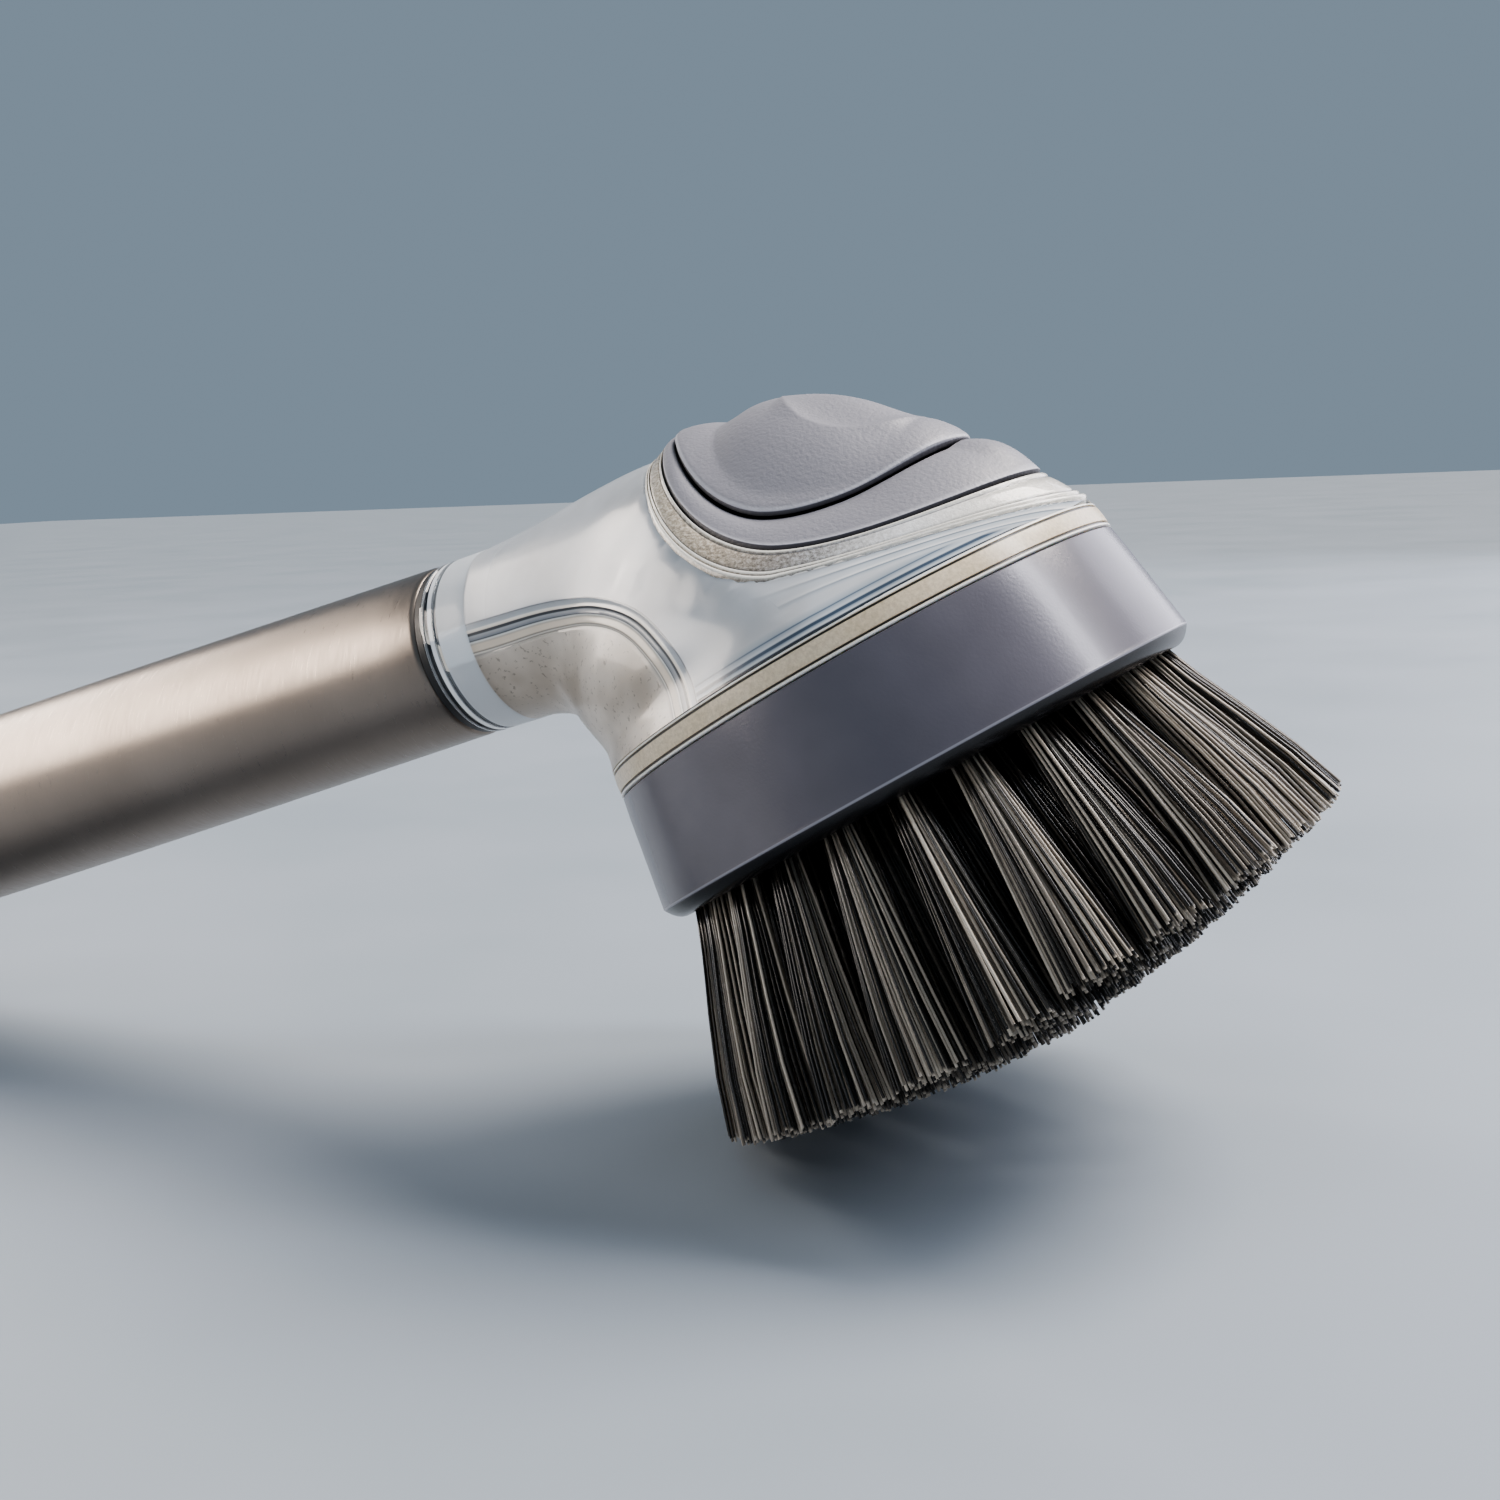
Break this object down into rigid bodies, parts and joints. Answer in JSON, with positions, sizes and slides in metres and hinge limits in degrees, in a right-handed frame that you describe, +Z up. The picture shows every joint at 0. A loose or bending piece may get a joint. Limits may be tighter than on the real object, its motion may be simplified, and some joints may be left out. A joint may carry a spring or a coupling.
{
  "type": "dish wand",
  "caption": "Soap-dispensing dish wand: round bristle head on a clear neck with a press button pump, and a hollow steel handle that holds the soap.",
  "frame": {"origin": "centre of the footprint, on the surface that the wand rests on", "axes": "+X from the handle's end towards the brush head, +Y across the wand, +Z up; the wand lies on the rear edge of its bristles and on the handle's end"},
  "size_m": [0.261, 0.0758, 0.0828],
  "materials": {
    "clear_plastic": "clear, slightly milky, polished",
    "cream_plastic": "translucent, satin",
    "silicone": "matte",
    "white_plastic": "fine satin",
    "soft_grey": "matte, finely textured",
    "black_rubber": "satin",
    "spring_steel": "drawn wire",
    "slate_plastic": "polished",
    "bristle_nylon": "fine filaments",
    "black_plastic": "satin",
    "brushed_steel": "brushed round the tube",
    "clear_tank": "clear",
    "grey_plastic": "satin"
  },
  "bodies": {
    "body": {"clear_body": "clear_plastic", "outlet_plate": "cream_plastic", "slit_valve": "silicone", "valve_retainer": "white_plastic", "button_boot": "soft_grey", "pump_cylinder": "white_plastic", "pump_cover": "white_plastic", "rod_seal": "black_rubber", "inlet_flap": "silicone", "return_spring": "spring_steel"},
    "button": {"button_cap": "soft_grey", "button_core": "white_plastic", "pump_piston": "white_plastic", "piston_seal": "black_rubber"},
    "brush": {"brush_holder": "slate_plastic", "holder_gasket": "black_rubber", "tuft_plate": "black_plastic", "tuft_anchors": "spring_steel", "outer_tufts": "bristle_nylon", "second_tufts": "bristle_nylon", "third_tufts": "bristle_nylon", "inner_tufts": "bristle_nylon"},
    "handle": {"handle_sleeve": "brushed_steel", "soap_reservoir": "clear_tank", "lip_gasket": "black_rubber", "neck_o_ring": "black_rubber", "end_cap": "grey_plastic", "end_cap_o_ring": "black_rubber"}
  },
  "joints": [
    {"name": "button_press", "type": "slide", "parent": "body", "child": "button", "axis": [-0.1194, 0, -0.9928], "range_m": [0, 0.0022], "stiffness_N_per_m": 800, "springref_m": -0.002, "deforming": ["return_spring"]},
    {"name": "brush_twist", "type": "hinge", "parent": "body", "child": "brush", "pos_m": [0.08451, 0, 0.04101], "axis": [-0.487, 0, 0.8734], "range_deg": [0, 60]},
    {"name": "handle_twist", "type": "hinge", "parent": "body", "child": "handle", "pos_m": [0.02562, 0, 0.05443], "axis": [-0.9625, 0, -0.2713], "range_deg": [0, 60]}
  ]
}
